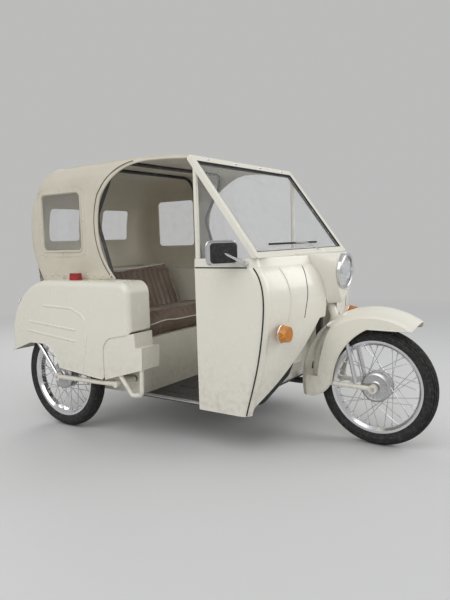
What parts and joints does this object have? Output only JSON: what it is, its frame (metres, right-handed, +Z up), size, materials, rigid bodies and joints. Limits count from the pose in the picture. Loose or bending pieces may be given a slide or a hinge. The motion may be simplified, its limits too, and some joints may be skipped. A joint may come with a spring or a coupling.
{
  "type": "three-wheeled moped",
  "caption": "Small hooded moped with one steered front wheel and two rear wheels, a bench seat under a cloth hood, a leaning windscreen and wire-spoked wheels.",
  "frame": {"origin": "on the ground under the middle of the vehicle's box", "axes": "+X forward, +Y to the vehicle's left, +Z up"},
  "size_m": [2.122, 1.21, 1.362],
  "materials": {
    "body_paint": "gloss enamel",
    "frame_paint": "satin black",
    "hood_cloth": "coated cloth",
    "clear_film": "clear",
    "seat_vinyl": "pleated",
    "bright_metal": "polished",
    "alloy": "cast satin",
    "spoke_steel": "zinc plated",
    "tyre_rubber": "matt",
    "grip_rubber": "matt",
    "lamp_glass": "fluted",
    "amber_lens": "gloss",
    "red_lens": "gloss",
    "mirror_face": "polished",
    "floor_cover": "ribbed mat",
    "engine_alloy": "cast"
  },
  "bodies": {
    "chassis": {"frame_tubes": "frame_paint", "floor_pan": "floor_cover", "toe_board": "body_paint", "front_apron": "body_paint", "side_panel_left": "body_paint", "side_panel_right": "body_paint", "nose_cowl": "body_paint", "cowl_top": "body_paint", "windscreen_frame": "body_paint", "windscreen_glass": "clear_film", "side_posts": "body_paint", "quarter_panes": "clear_film", "headlamp_rim": "bright_metal", "headlamp_lens": "lamp_glass", "front_flashers": "amber_lens", "mirror": "bright_metal", "mirror_glass": "mirror_face", "seat_box": "body_paint", "seat_cushion": "seat_vinyl", "seat_backrest": "seat_vinyl", "rear_fender_left": "body_paint", "rear_fender_right": "body_paint", "side_box_left": "body_paint", "side_box_right": "body_paint", "rear_tub": "body_paint", "step_loops": "body_paint", "hood_skin": "hood_cloth", "hood_bows": "frame_paint", "hood_windows": "clear_film", "tail_lamps": "red_lens", "marker_lamps": "red_lens", "engine_block": "engine_alloy", "exhaust": "bright_metal", "chain_case": "frame_paint", "rear_swing_arm_left": "body_paint", "rear_swing_arm_right": "body_paint", "rear_dampers": "bright_metal", "rear_axles": "spoke_steel"},
    "steering": {"steering_fork": "body_paint", "handlebar": "bright_metal", "hand_grips": "grip_rubber", "front_fender": "body_paint", "front_links": "body_paint", "front_dampers": "bright_metal", "front_axle": "spoke_steel"},
    "front_wheel": {"front_tyre": "tyre_rubber", "front_rim": "bright_metal", "front_hub": "alloy"},
    "rear_wheel_left": {"rear_left_tyre": "tyre_rubber", "rear_left_rim": "bright_metal", "rear_left_hub": "alloy"},
    "rear_wheel_right": {"rear_right_tyre": "tyre_rubber", "rear_right_rim": "bright_metal", "rear_right_hub": "alloy"}
  },
  "joints": [
    {"name": "steer", "type": "hinge", "parent": "chassis", "child": "steering", "pos_m": [0.559, 0, 0.64], "axis": [-0.454, 0, 0.891], "range_deg": [-28, 28]},
    {"name": "front_spin", "type": "hinge", "parent": "steering", "child": "front_wheel", "pos_m": [0.789, 0, 0.272], "axis": [0, 1, 0], "continuous": true},
    {"name": "rear_left_spin", "type": "hinge", "parent": "chassis", "child": "rear_wheel_left", "pos_m": [-0.716, 0.526, 0.272], "axis": [0, 1, 0], "continuous": true},
    {"name": "rear_right_spin", "type": "hinge", "parent": "chassis", "child": "rear_wheel_right", "pos_m": [-0.716, -0.526, 0.272], "axis": [0, 1, 0], "continuous": true}
  ]
}
